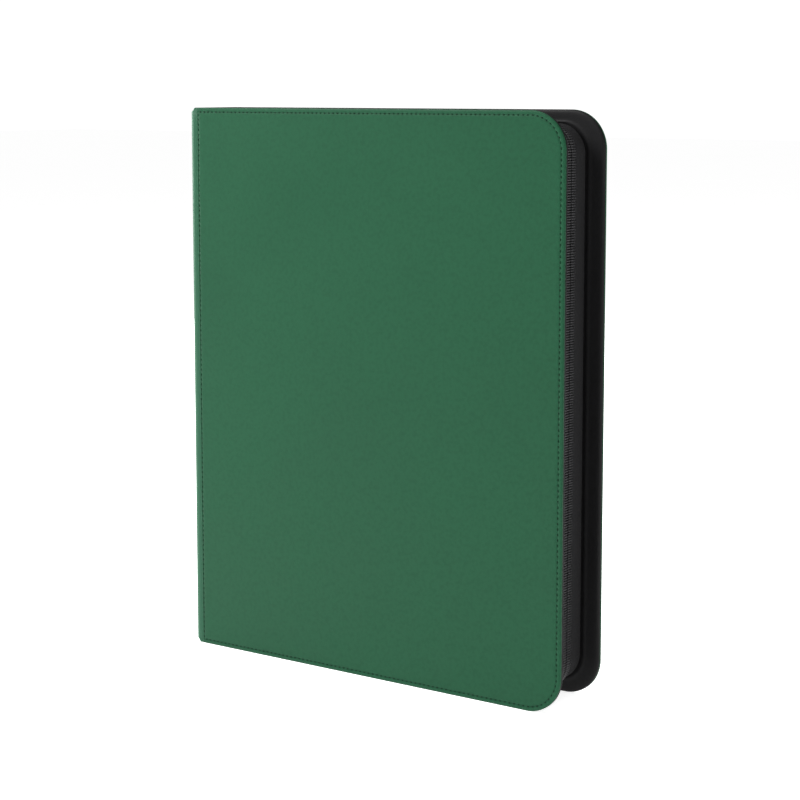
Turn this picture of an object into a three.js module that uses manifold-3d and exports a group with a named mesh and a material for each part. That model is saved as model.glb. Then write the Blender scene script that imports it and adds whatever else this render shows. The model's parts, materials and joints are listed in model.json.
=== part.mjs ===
// A zip-up trading card binder, standing on its lower edges.
// Two padded boards and a spine are wrapped in imitation leather. Twenty leaves of card pockets are bound
// to the inside of the spine. A zip runs round the three open sides, set back from the edges of the covers.
// Millimetres, +Z up. The front cover faces -Y and the spine is at -X. The origin is at the middle of the
// foot.
import * as THREE from "three";
import { mergeVertices } from "three/addons/utils/BufferGeometryUtils.js";
import Module from "manifold-3d";

const wasm = await Module();
wasm.setup();

// Driving dimensions
const HEIGHT = 350;
const WIDTH = 278; // spine to fore edge
const DEPTH = 48.6; // closed thickness over both covers
const CORNER_R = 23; // outer corners at the fore edge
const ARC_STEPS = 10; // facets in each rounded corner

// Layers of a cover, from the outside in, with a hair of air between them
const AIR = 0.05;
const SKIN_T = 0.8;
const FOAM_T = 0.95;
const BOARD_T = 1.6;
const LINING_T = 0.5;
const COVER_T = SKIN_T + FOAM_T + BOARD_T + LINING_T + 3 * AIR;
const SIDE_GAP = 0.1; // between a turned edge and what it wraps
const OVERCUT = 1; // how far a cutting body reaches past what it cuts
const SEAM_DEPTH = 1.7; // where the skin's turned edge meets the lining's
const RIM_W = 2.4; // width of the turned and glued edges

// Spine, measured from its outer face
const HINGE_X = 5.5; // the crease that each cover turns on
const CREASE_GAP = 1.6; // bare width of the crease
const SPINE_R = 4.5;
const SPINE_BOARD_T = 2;
const SPINE_BOARD_W = 40;
const SPINE_BOARD_SHORT = 2; // how far the spine's board stops short of the head and foot
const BOARD_X = 8; // where the cover boards begin

// Zip band between the covers
const INSET_FORE = 11.4; // how far the band is set back from the covers' fore edges
const INSET_END = 8; // and from their heads and feet
const BAND_R = 18; // the band's corners
const TAPE_T = 0.8;
const ZIP_GAP = 1.2; // between the two rows of teeth, where the slider's wedge runs
const COIL_W = 4.4;
const COIL_H = 2;
const BAND_X = 18.5; // where the covers' zip halves begin, past the tails fixed to the spine
const TAIL_X = 18;
const TAIL_TEETH_X = 7.4; // where the teeth on the tails begin
const STOP_L = 1.4;

// Leaves
const LEAVES = 20;
const LEAF_PITCH = 1.85;
const LEAF_T = 0.8;
const LEAF_END_X = 252;
const LEAF_Z = [22, 328];
const LEAF_R = 4;
const LEAF_HINGE_X = 9; // outermost leaves
const LEAF_STEP_X = 1.15; // each leaf towards the middle turns a little further out
const LEAF_START = 0.3; // from its own axis
const LEAF_ARC_STEPS = 3;
const BINDING_CLEARANCE = 0.8; // between the binding and each leaf's axis

// Slider, at the spine end of the upper run
const SLIDER_X = [5.4, 17.4];
const SLIDER_W = 12.8;
const PLATE_T = 1.2;
const ROOM = 0.4; // running clearance round teeth and tape
const WEDGE_X = [6, 10]; // the wedge that parts the teeth
const WEDGE_T = 0.6;
const CROWN_REACH = 4; // from the pull's axis to the outside of each crown post
const CROWN_GAP = 1.3; // from the pull's axis up to the crown's underside
const POST_L = 1.5;
const POST_W = 2.4;

// Pull, which turns on the end bar of its link
const PULL_X = 11.4; // its axis
const PULL_RISE = 1.1; // its axis above the slider's upper plate
const LINK_T = 1.2;
const LINK_W = 7;
const LINK_END_X = 25;
const WINDOW_X = [12.3, 17.4]; // the opening that the crown's post passes through
const WINDOW_W = 4;
const GRIP_X = [20.5, 43];
const GRIP_T = 2.4;
const GRIP_W = 8;

// Places worked out from the dimensions above
const SPINE_INSIDE_X = SKIN_T + SPINE_BOARD_T + LINING_T + 2 * AIR; // the spine lining's inner face
const TAPE_TOP = HEIGHT - INSET_END;
const UPPER_FROM = TAPE_TOP + AIR + COIL_H + ROOM; // underside of the slider's upper plate
const UPPER_TO = UPPER_FROM + PLATE_T;
const LOWER_TO = TAPE_TOP - TAPE_T - ROOM; // top of its lower plate
const PULL_Z = UPPER_TO + PULL_RISE;

const materials = {
  green: new THREE.MeshStandardMaterial({ color: 0x3f6e50, roughness: 0.55 }),
  lining: new THREE.MeshStandardMaterial({ color: 0x1b1b1c, roughness: 0.7 }),
  foam: new THREE.MeshStandardMaterial({ color: 0xd8d8d2, roughness: 0.95 }),
  board: new THREE.MeshStandardMaterial({ color: 0x8a8478, roughness: 0.9 }),
  tape: new THREE.MeshStandardMaterial({ color: 0x2a2a2b, roughness: 0.85 }),
  teeth: new THREE.MeshStandardMaterial({ color: 0x333336, roughness: 0.45 }),
  metal: new THREE.MeshStandardMaterial({ color: 0x2b2b2e, roughness: 0.35, metalness: 0.9 }),
  leaf: new THREE.MeshStandardMaterial({ color: 0x202124, roughness: 0.35 }),
  grip: new THREE.MeshStandardMaterial({ color: 0x18181a, roughness: 0.6 }),
};

function rectangle(x0, y0, x1, y1) {
  const shape = new THREE.Shape();
  shape.moveTo(x0, y0);
  shape.lineTo(x1, y0);
  shape.lineTo(x1, y1);
  shape.lineTo(x0, y1);
  shape.closePath();
  return shape;
}

// The outline of a cover's open sides from the foot round to the head, set in by `side` at the fore edge
// and by `end` at the foot and head.
function traceOpenSides(shape, x0, side, end, r) {
  const arcX = WIDTH - side - r;
  shape.moveTo(x0, end);
  shape.lineTo(arcX, end);
  shape.absarc(arcX, end + r, r, -Math.PI / 2, 0, false);
  shape.absarc(arcX, HEIGHT - end - r, r, 0, Math.PI / 2, false);
  shape.lineTo(x0, HEIGHT - end);
}

function coverOutline(x0, inset) {
  const shape = new THREE.Shape();
  traceOpenSides(shape, x0, inset, inset, CORNER_R - inset);
  shape.closePath();
  return shape;
}

// The zip band's outline, between two depths in from its outer face.
function bandOutline(x0, outer, inner) {
  const shape = new THREE.Shape();
  traceOpenSides(shape, x0, INSET_FORE + outer, INSET_END + outer, BAND_R - outer);
  const end = INSET_END + inner;
  const r = BAND_R - inner;
  const arcX = WIDTH - INSET_FORE - BAND_R;
  shape.lineTo(x0, HEIGHT - end);
  shape.lineTo(arcX, HEIGHT - end);
  shape.absarc(arcX, HEIGHT - end - r, r, Math.PI / 2, 0, true);
  shape.absarc(arcX, end + r, r, 0, -Math.PI / 2, true);
  shape.lineTo(x0, end);
  shape.closePath();
  return shape;
}

function extrude(shape, depth, curveSegments = ARC_STEPS) {
  return new THREE.ExtrudeGeometry(shape, { depth, bevelEnabled: false, curveSegments });
}

// An outline in X and Z, thick from y0 to y1.
function uprightGeometry(shape, y0, y1, curveSegments) {
  return extrude(shape, y1 - y0, curveSegments).rotateX(Math.PI / 2).translate(0, y1, 0);
}

// An outline in X and Y, tall from z0 to z1.
function standingGeometry(shape, z0, z1) {
  return extrude(shape, z1 - z0).translate(0, 0, z0);
}

function boxGeometry(x0, x1, y0, y1, z0, z1) {
  return standingGeometry(rectangle(x0, y0, x1, y1), z0, z1);
}

function solid(geometry) {
  const bare = geometry.index ? geometry.toNonIndexed() : geometry.clone();
  bare.deleteAttribute("normal");
  bare.deleteAttribute("uv");
  const merged = mergeVertices(bare, 1e-4);
  return new wasm.Manifold(
    new wasm.Mesh({
      numProp: 3,
      vertProperties: merged.attributes.position.array,
      triVerts: new Uint32Array(merged.index.array),
    }),
  );
}

function geometryOf(manifold) {
  const mesh = manifold.getMesh();
  const geometry = new THREE.BufferGeometry();
  geometry.setAttribute("position", new THREE.BufferAttribute(mesh.vertProperties, 3));
  geometry.setIndex(new THREE.BufferAttribute(mesh.triVerts, 1));
  geometry.computeVertexNormals();
  return geometry;
}

function piece(name, geometry, material) {
  const mesh = new THREE.Mesh(geometry, material);
  mesh.name = name;
  return mesh;
}

// Places the front cover's depths: 0 is the outer face, and depth grows towards the middle.
const frontSpan = (from, to) => [-DEPTH / 2 + from, -DEPTH / 2 + to];
const backSpan = (from, to) => [DEPTH / 2 - to, DEPTH / 2 - from];

function makeCover(side, span) {
  const group = new THREE.Group();
  const liningFrom = COVER_T - LINING_T;
  const skinX = HINGE_X + CREASE_GAP / 2;
  const foamFrom = SKIN_T + AIR;
  const boardFrom = foamFrom + FOAM_T + AIR;
  const coreInset = RIM_W + SIDE_GAP;

  const skin = makeTray(skinX, span, [0, SEAM_DEPTH], [SKIN_T, COVER_T]);
  group.add(piece(side + "_skin", skin, materials.green));

  const foam = uprightGeometry(coverOutline(BOARD_X, coreInset), ...span(foamFrom, foamFrom + FOAM_T));
  group.add(piece(side + "_foam", foam, materials.foam));

  const board = uprightGeometry(coverOutline(BOARD_X, coreInset), ...span(boardFrom, boardFrom + BOARD_T));
  group.add(piece(side + "_board", board, materials.board));

  const lining = makeTray(skinX, span, [SEAM_DEPTH + AIR, COVER_T], [0, liningFrom]);
  group.add(piece(side + "_lining", lining, materials.lining));

  group.add(makeZipHalf(side, span));
  return group;
}

// A sheet whose edges are turned over what it covers, on every side but the crease.
function makeTray(x0, span, depths, hollow) {
  const whole = solid(uprightGeometry(coverOutline(x0, 0), ...span(...depths)));
  const core = solid(uprightGeometry(coverOutline(x0 - OVERCUT, RIM_W), ...span(...hollow)));
  return geometryOf(whole.subtract(core));
}

// Half of the zip band: the tape and one row of teeth.
function makeZipHalf(side, span) {
  const group = new THREE.Group();
  const tapeTo = DEPTH / 2 - ZIP_GAP / 2;
  const tapeShape = bandOutline(BAND_X, 0, TAPE_T);
  const coilShape = bandOutline(BAND_X, -AIR - COIL_H, -AIR);
  const tape = uprightGeometry(tapeShape, ...span(COVER_T + AIR, tapeTo));
  const coil = uprightGeometry(coilShape, ...span(tapeTo - COIL_W, tapeTo));
  group.add(piece(side + "_zip_tape", tape, materials.tape));
  group.add(piece(side + "_zip_coil", coil, materials.teeth));
  return group;
}

// The skin turns round both edges of the spine and stops short of the creases.
function spineSkinProfile() {
  const half = DEPTH / 2;
  const end = HINGE_X - CREASE_GAP / 2;
  const inner = half - SKIN_T;
  const shape = new THREE.Shape();
  shape.moveTo(end, -half);
  shape.lineTo(end, -inner);
  shape.lineTo(SPINE_R, -inner);
  shape.absarc(SPINE_R, -half + SPINE_R, SPINE_R - SKIN_T, -Math.PI / 2, -Math.PI, true);
  shape.absarc(SPINE_R, half - SPINE_R, SPINE_R - SKIN_T, Math.PI, Math.PI / 2, true);
  shape.lineTo(end, inner);
  shape.lineTo(end, half);
  shape.lineTo(SPINE_R, half);
  shape.absarc(SPINE_R, half - SPINE_R, SPINE_R, Math.PI / 2, Math.PI, false);
  shape.absarc(SPINE_R, -half + SPINE_R, SPINE_R, Math.PI, 1.5 * Math.PI, false);
  shape.closePath();
  return shape;
}

function makeSpine() {
  const group = new THREE.Group();
  const boardX = [SKIN_T + AIR, SKIN_T + AIR + SPINE_BOARD_T];
  const liningX = [SPINE_INSIDE_X - LINING_T, SPINE_INSIDE_X];
  const half = SPINE_BOARD_W / 2;
  const short = SPINE_BOARD_SHORT;
  const board = boxGeometry(...boardX, -half, half, short, HEIGHT - short);
  const lining = boxGeometry(...liningX, -half, half, short / 2, HEIGHT - short / 2);
  group.add(piece("spine_skin", standingGeometry(spineSkinProfile(), 0, HEIGHT), materials.green));
  group.add(piece("spine_board", board, materials.board));
  group.add(piece("spine_lining", lining, materials.lining));
  group.add(piece("page_binding", pageBinding(SPINE_INSIDE_X + AIR), materials.lining));
  return group;
}

function leafY(i) {
  return (i - (LEAVES - 1) / 2) * LEAF_PITCH;
}

function leafHingeX(i) {
  return LEAF_HINGE_X + LEAF_STEP_X * Math.min(i, LEAVES - 1 - i);
}

// The welded margins of the leaves, a ridge whose face keeps clear of every leaf's axis.
function pageBinding(x0) {
  const half = leafY(LEAVES - 1) + LEAF_PITCH / 2;
  const shape = new THREE.Shape();
  shape.moveTo(x0, -half);
  for (let i = 0; i < LEAVES; i++) {
    const x = leafHingeX(i) - BINDING_CLEARANCE;
    shape.lineTo(x, leafY(i) - LEAF_PITCH / 2);
    shape.lineTo(x, leafY(i) + LEAF_PITCH / 2);
  }
  shape.lineTo(x0, half);
  shape.closePath();
  return standingGeometry(shape, LEAF_Z[0], LEAF_Z[1]);
}

function makeLeaf(i) {
  const x0 = leafHingeX(i) + LEAF_START;
  const [z0, z1] = LEAF_Z;
  const shape = new THREE.Shape();
  shape.moveTo(x0, z0);
  shape.lineTo(LEAF_END_X - LEAF_R, z0);
  shape.absarc(LEAF_END_X - LEAF_R, z0 + LEAF_R, LEAF_R, -Math.PI / 2, 0, false);
  shape.absarc(LEAF_END_X - LEAF_R, z1 - LEAF_R, LEAF_R, 0, Math.PI / 2, false);
  shape.lineTo(x0, z1);
  shape.closePath();
  const y = leafY(i);
  const name = "page_" + String(i + 1).padStart(2, "0");
  const geometry = uprightGeometry(shape, y - LEAF_T / 2, y + LEAF_T / 2, LEAF_ARC_STEPS);
  return piece(name, geometry, materials.leaf);
}

// The fixed end of the zip at the spine: a split tape with the last teeth on it. `up` is 1 at the head.
function makeZipTail(name, up) {
  const half = DEPTH / 2 - COVER_T - AIR;
  const gap = ZIP_GAP / 2;
  const slotX = SLIDER_X[0];
  const plate = endBox(up, SPINE_INSIDE_X + AIR, TAIL_X, half, TAPE_TOP - TAPE_T, TAPE_TOP);
  const slot = endBox(up, slotX, TAIL_X + OVERCUT, gap, TAPE_TOP - TAPE_T - OVERCUT, UPPER_FROM + OVERCUT);
  const teeth = endBox(up, TAIL_TEETH_X, TAIL_X, gap + COIL_W, TAPE_TOP - AIR, TAPE_TOP + AIR + COIL_H);
  return piece(name, geometryOf(plate.add(teeth).subtract(slot)), materials.tape);
}

function makeStop(name, up) {
  const x0 = SPINE_INSIDE_X + AIR;
  const x1 = SPINE_INSIDE_X + STOP_L;
  const low = TAPE_TOP + AIR;
  const stop = endBox(up, x0, x1, ZIP_GAP / 2 + COIL_W, low, low + COIL_H);
  return piece(name, geometryOf(stop), materials.metal);
}

// A box at the head, as wide as `half` on both sides of the middle, or its mirror image at the foot.
function endBox(up, x0, x1, half, low, high) {
  const [z0, z1] = up > 0 ? [low, high] : [HEIGHT - high, HEIGHT - low];
  return solid(boxGeometry(x0, x1, -half, half, z0, z1));
}

// Two plates joined by a wedge that runs between the teeth, side flanges and a crown for the pull.
function makeSliderBody() {
  const [x0, x1] = SLIDER_X;
  const half = SLIDER_W / 2;
  const inside = ZIP_GAP / 2 + COIL_W + ROOM;
  const crownFrom = PULL_Z + CROWN_GAP;
  const crownTo = crownFrom + PLATE_T;
  const crownX = [PULL_X - CROWN_REACH, PULL_X + CROWN_REACH];
  const box = (...extent) => solid(boxGeometry(...extent));
  const block = (from, to, width, low, high) => box(from, to, -width / 2, width / 2, low, high);
  const parts = [
    block(x0, x1, SLIDER_W, UPPER_FROM, UPPER_TO),
    block(x0, x1, SLIDER_W, LOWER_TO - PLATE_T, LOWER_TO),
    block(...WEDGE_X, WEDGE_T, LOWER_TO - AIR, UPPER_FROM + AIR),
    box(x0, x1, -half, -inside, TAPE_TOP + 2 * ROOM, UPPER_FROM + AIR),
    box(x0, x1, inside, half, TAPE_TOP + 2 * ROOM, UPPER_FROM + AIR),
    block(crownX[0], crownX[0] + POST_L, POST_W, UPPER_TO - AIR, crownTo),
    block(crownX[1] - POST_L, crownX[1], POST_W, UPPER_TO - AIR, crownTo),
    block(...crownX, POST_W, crownFrom, crownTo),
  ];
  return piece("slider_body", geometryOf(parts.reduce((a, b) => a.add(b))), materials.metal);
}

// The link turns on its end bar, under the crown, whose post passes through its window.
function makePull() {
  const group = new THREE.Group();
  const linkX = [PULL_X - LINK_T / 2, LINK_END_X];
  const link = centredBox(...linkX, LINK_W, LINK_T);
  const window = centredBox(...WINDOW_X, WINDOW_W, LINK_T + OVERCUT);
  const grip = centredBox(...GRIP_X, GRIP_W, GRIP_T);
  const pocket = centredBox(linkX[0], linkX[1] + SIDE_GAP, LINK_W + 2 * SIDE_GAP, LINK_T + 2 * SIDE_GAP);
  group.add(piece("pull_link", geometryOf(link.subtract(window)), materials.metal));
  group.add(piece("pull_grip", geometryOf(grip.subtract(pocket)), materials.grip));
  return group;
}

// A box centred on the level of the pull's axis.
function centredBox(x0, x1, width, thickness) {
  const [half, rise] = [width / 2, thickness / 2];
  return solid(boxGeometry(x0, x1, -half, half, PULL_Z - rise, PULL_Z + rise));
}

const binder = new THREE.Group();
binder.position.x = -WIDTH / 2;
binder.add(makeSpine());
binder.add(makeCover("front", frontSpan));
binder.add(makeCover("back", backSpan));
for (let i = 0; i < LEAVES; i++) binder.add(makeLeaf(i));
binder.add(makeZipTail("zip_tail_top", 1));
binder.add(makeZipTail("zip_tail_bottom", -1));
binder.add(makeStop("zip_stop_top", 1));
binder.add(makeStop("zip_stop_bottom", -1));
binder.add(makeSliderBody());
binder.add(makePull());

const root = new THREE.Group();
root.add(binder);

export default root;
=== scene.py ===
"""The looks of a zip-up trading card binder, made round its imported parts.

Metres, with the CAD's frame: +Z up, the front cover faces -Y and the spine is at -X.
Sizes along a cover are given as an inset from its edge and a depth in from its outer face.
"""

import json
import math

import bmesh
import bpy
import numpy as np
from mathutils import Matrix, Vector
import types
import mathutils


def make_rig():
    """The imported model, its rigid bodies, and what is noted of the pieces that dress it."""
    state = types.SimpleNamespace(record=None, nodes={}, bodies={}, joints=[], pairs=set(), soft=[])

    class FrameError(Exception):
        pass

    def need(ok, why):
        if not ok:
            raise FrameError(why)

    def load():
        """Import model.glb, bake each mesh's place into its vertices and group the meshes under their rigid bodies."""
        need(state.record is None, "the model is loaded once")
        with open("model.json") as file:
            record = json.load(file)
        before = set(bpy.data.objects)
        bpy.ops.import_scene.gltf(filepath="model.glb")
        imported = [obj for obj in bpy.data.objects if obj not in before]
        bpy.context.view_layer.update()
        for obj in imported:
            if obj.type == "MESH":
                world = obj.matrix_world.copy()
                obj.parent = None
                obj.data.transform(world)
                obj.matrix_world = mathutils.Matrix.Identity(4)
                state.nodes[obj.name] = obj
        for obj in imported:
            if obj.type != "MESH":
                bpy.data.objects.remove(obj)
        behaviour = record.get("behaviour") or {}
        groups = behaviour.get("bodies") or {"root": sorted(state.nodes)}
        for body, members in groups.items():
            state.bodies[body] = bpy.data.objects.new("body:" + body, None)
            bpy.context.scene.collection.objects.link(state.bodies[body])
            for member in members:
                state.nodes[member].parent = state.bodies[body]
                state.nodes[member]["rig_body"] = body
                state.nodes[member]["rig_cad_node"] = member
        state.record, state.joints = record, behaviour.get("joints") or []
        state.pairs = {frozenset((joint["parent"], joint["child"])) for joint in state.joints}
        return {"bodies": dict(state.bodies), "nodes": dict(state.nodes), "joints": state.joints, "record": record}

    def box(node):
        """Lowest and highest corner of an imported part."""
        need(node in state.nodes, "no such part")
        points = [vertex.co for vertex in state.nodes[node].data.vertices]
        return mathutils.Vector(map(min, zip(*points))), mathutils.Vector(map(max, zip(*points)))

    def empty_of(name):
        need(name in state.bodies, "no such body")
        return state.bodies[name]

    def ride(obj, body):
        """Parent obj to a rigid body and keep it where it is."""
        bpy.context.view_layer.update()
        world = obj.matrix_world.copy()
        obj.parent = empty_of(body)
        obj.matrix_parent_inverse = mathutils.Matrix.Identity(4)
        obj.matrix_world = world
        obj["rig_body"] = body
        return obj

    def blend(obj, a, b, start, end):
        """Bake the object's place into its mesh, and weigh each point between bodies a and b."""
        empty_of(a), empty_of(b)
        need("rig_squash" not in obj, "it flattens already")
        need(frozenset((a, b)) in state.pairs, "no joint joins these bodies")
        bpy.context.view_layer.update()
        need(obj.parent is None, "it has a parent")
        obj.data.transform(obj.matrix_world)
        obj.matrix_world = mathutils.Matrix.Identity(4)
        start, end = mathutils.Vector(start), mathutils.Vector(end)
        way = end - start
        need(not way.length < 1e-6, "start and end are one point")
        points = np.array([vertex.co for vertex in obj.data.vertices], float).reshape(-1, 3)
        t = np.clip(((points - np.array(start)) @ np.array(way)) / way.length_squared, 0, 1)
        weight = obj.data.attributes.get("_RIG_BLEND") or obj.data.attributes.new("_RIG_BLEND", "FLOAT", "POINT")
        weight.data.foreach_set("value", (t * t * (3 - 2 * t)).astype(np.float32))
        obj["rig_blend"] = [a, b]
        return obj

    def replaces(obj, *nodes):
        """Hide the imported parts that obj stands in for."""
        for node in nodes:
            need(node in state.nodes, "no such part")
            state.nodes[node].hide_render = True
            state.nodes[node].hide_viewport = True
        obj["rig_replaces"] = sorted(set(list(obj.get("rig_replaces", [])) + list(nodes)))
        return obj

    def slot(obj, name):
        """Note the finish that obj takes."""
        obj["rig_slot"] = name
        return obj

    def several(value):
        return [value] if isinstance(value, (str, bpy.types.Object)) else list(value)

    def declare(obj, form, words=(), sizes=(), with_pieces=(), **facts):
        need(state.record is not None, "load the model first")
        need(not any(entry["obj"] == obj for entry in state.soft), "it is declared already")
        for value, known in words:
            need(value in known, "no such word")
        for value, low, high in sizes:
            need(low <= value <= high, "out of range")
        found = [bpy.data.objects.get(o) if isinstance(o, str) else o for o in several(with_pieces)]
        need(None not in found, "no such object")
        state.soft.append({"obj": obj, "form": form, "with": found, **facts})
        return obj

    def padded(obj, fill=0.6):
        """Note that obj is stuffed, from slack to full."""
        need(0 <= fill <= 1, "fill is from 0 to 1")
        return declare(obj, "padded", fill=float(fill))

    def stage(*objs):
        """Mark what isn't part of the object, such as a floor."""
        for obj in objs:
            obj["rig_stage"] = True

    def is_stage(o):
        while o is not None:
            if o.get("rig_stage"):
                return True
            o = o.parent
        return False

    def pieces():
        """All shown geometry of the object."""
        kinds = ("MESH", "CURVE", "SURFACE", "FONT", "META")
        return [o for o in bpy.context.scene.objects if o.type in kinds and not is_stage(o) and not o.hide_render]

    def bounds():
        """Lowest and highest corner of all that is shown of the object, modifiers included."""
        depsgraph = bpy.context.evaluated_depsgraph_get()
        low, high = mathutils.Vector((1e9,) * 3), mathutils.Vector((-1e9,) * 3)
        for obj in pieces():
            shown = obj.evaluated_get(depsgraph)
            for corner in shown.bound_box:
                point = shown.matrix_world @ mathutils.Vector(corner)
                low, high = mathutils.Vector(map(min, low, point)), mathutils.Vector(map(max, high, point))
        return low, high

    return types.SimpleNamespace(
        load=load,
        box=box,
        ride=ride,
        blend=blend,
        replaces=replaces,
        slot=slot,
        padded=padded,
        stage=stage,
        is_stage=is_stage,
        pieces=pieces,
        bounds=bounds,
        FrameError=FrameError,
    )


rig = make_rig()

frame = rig.load()
cad_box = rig.bounds()

MM = 0.001
skin_low, skin_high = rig.box("front_skin")
COVER_X = skin_low.x
EDGE_X = skin_high.x
HEIGHT = skin_high.z
SPINE_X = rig.box("spine_skin")[0].x
SPINE_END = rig.box("spine_skin")[1].x
HALF = cad_box[1].y
CORNER = 23 * MM
tape_low, tape_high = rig.box("front_zip_tape")
TAPE_X = tape_low.x
FORE_INSET = EDGE_X - tape_high.x
END_INSET = HEIGHT - tape_high.z
BAND_CORNER = 18 * MM
TURNED = 3.6 * MM
MIDDLE_GAP = 0.5 * MM
CREASE_SEAM = 1.45 * MM
EDGE_SEAM = 2.75 * MM


# --- camera, light and floor ---------------------------------------------------------------------------


def place_camera():
    data = bpy.data.cameras.new("camera")
    data.lens = 87.95
    data.sensor_width = 36
    data.shift_y = -0.1
    data.clip_end = 20
    camera = bpy.data.objects.new("camera", data)
    bpy.context.scene.collection.objects.link(camera)
    pan, tilt = math.radians(35.02), math.radians(6.75)
    turn = Matrix.Rotation(pan, 4, "Z") @ Matrix.Rotation(math.pi / 2 - tilt, 4, "X")
    camera.matrix_world = Matrix.Translation((0.6927, -0.9514 - HALF, 0.362)) @ turn
    bpy.context.scene.camera = camera


def soft_light(name, place, size, watts):
    data = bpy.data.lights.new(name, "AREA")
    data.shape = "DISK"
    data.size = size
    data.energy = watts
    light = bpy.data.objects.new(name, data)
    bpy.context.scene.collection.objects.link(light)
    light.location = place
    aim = Vector((0, 0, HEIGHT / 2)) - light.location
    light.rotation_mode = "QUATERNION"
    light.rotation_quaternion = aim.to_track_quat("-Z", "Y")


def light_studio():
    world = bpy.data.worlds.new("studio")
    bpy.context.scene.world = world
    world.use_nodes = True
    tree = world.node_tree
    tree.nodes.clear()
    seen = tree.nodes.new("ShaderNodeBackground")
    seen.inputs["Color"].default_value = (1, 1, 1, 1)
    seen.inputs["Strength"].default_value = 1.1
    fill = tree.nodes.new("ShaderNodeBackground")
    fill.inputs["Color"].default_value = (1, 1, 1, 1)
    fill.inputs["Strength"].default_value = 0.2
    rays = tree.nodes.new("ShaderNodeLightPath")
    mix = tree.nodes.new("ShaderNodeMixShader")
    out = tree.nodes.new("ShaderNodeOutputWorld")
    tree.links.new(rays.outputs["Is Camera Ray"], mix.inputs[0])
    tree.links.new(fill.outputs[0], mix.inputs[1])
    tree.links.new(seen.outputs[0], mix.inputs[2])
    tree.links.new(mix.outputs[0], out.inputs["Surface"])
    soft_light("overhead", (0, -0.2, 2.2), 2.4, 23)
    soft_light("window", (-0.55, -0.6, 0.98), 0.6, 13)
    soft_light("spine side", (-1.6, -0.05, 0.6), 0.8, 28)
    soft_light("behind", (-1.3, 1.2, 0.6), 1.2, 15)
    soft_light("fore side", (1.5, -0.4, 0.6), 0.8, 5)
    bpy.context.scene.view_settings.view_transform = "Standard"


def lay_floor():
    reach = 12.0
    mesh = bpy.data.meshes.new("floor")
    corners = [(-reach, -reach, 0), (reach, -reach, 0), (reach, reach, 0), (-reach, reach, 0)]
    mesh.from_pydata(corners, [], [(0, 1, 2, 3)])
    floor = bpy.data.objects.new("floor", mesh)
    bpy.context.scene.collection.objects.link(floor)
    paint = Finish("pale floor")
    grain = paint.node("ShaderNodeTexNoise", {}, {"Vector": paint.place(), "Scale": 3.0})
    tone = paint.mix(grain, (0.92, 0.92, 0.92), (0.94, 0.94, 0.94))
    glow = {"Emission Color": (1, 1, 1, 1), "Emission Strength": 0.8}
    paint.surface({"Base Color": tone, "Roughness": 0.9, "Specular IOR Level": 0.1, **glow})
    mesh.materials.append(paint.material)
    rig.stage(floor)


# --- shader expressions --------------------------------------------------------------------------------


class Wire:
    """A node's output that can be used in a Python expression."""

    def __init__(self, finish, socket):
        self.finish = finish
        self.socket = socket

    def maths(self, operation, first, second):
        return self.finish.node("ShaderNodeMath", {"operation": operation}, {0: first, 1: second})

    def __add__(self, other):
        return self.maths("ADD", self, other)

    def __radd__(self, other):
        return self.maths("ADD", other, self)

    def __sub__(self, other):
        return self.maths("SUBTRACT", self, other)

    def __rsub__(self, other):
        return self.maths("SUBTRACT", other, self)

    def __mul__(self, other):
        return self.maths("MULTIPLY", self, other)

    def __rmul__(self, other):
        return self.maths("MULTIPLY", other, self)


class Finish:
    """A procedural material and the few calls that make its nodes."""

    def __init__(self, name):
        self.material = bpy.data.materials.new(name)
        self.material.use_nodes = True
        self.tree = self.material.node_tree
        self.tree.nodes.clear()

    def node(self, kind, settings=None, sockets=None, out=0):
        made = self.tree.nodes.new(kind)
        for key, value in (settings or {}).items():
            setattr(made, key, value)
        for key, value in (sockets or {}).items():
            if isinstance(value, Wire):
                self.tree.links.new(value.socket, made.inputs[key])
            else:
                made.inputs[key].default_value = value
        return Wire(self, made.outputs[out])

    def place(self):
        return self.node("ShaderNodeTexCoord", out="Object")

    def along(self, layer):
        return self.node("ShaderNodeUVMap", {"uv_map": layer})

    def value(self, attribute):
        return self.node("ShaderNodeAttribute", {"attribute_name": attribute}, out="Fac")

    def part(self, vector, axis):
        return self.node("ShaderNodeSeparateXYZ", {}, {"Vector": vector}, out=axis)

    def wave(self, angle):
        return self.node("ShaderNodeMath", {"operation": "SINE"}, {0: angle})

    def noise(self, vector, scale, detail=2.0, roughness=0.5):
        sockets = {"Vector": vector, "Scale": scale, "Detail": detail, "Roughness": roughness}
        return self.node("ShaderNodeTexNoise", {}, sockets)

    def cells(self, vector, scale, feature="F1"):
        return self.node("ShaderNodeTexVoronoi", {"feature": feature}, {"Vector": vector, "Scale": scale})

    def remap(self, value, low, high, to_low=0.0, to_high=1.0):
        sockets = {"Value": value, 1: low, 2: high, 3: to_low, 4: to_high}
        return self.node("ShaderNodeMapRange", {"interpolation_type": "SMOOTHSTEP"}, sockets)

    def mix(self, share, first, second):
        ends = [c if isinstance(c, Wire) else (*c, 1.0) for c in (first, second)]
        sockets = {0: share, 6: ends[0], 7: ends[1]}
        return self.node("ShaderNodeMix", {"data_type": "RGBA"}, sockets, out=2)

    def bump(self, height, distance, strength=1.0):
        sockets = {"Height": height, "Distance": distance, "Strength": strength}
        return self.node("ShaderNodeBump", {}, sockets)

    def surface(self, sockets):
        shader = self.node("ShaderNodeBsdfPrincipled", {}, sockets)
        out = self.tree.nodes.new("ShaderNodeOutputMaterial")
        self.tree.links.new(shader.socket, out.inputs["Surface"])
        return self.material


# --- finishes ------------------------------------------------------------------------------------------


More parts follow.
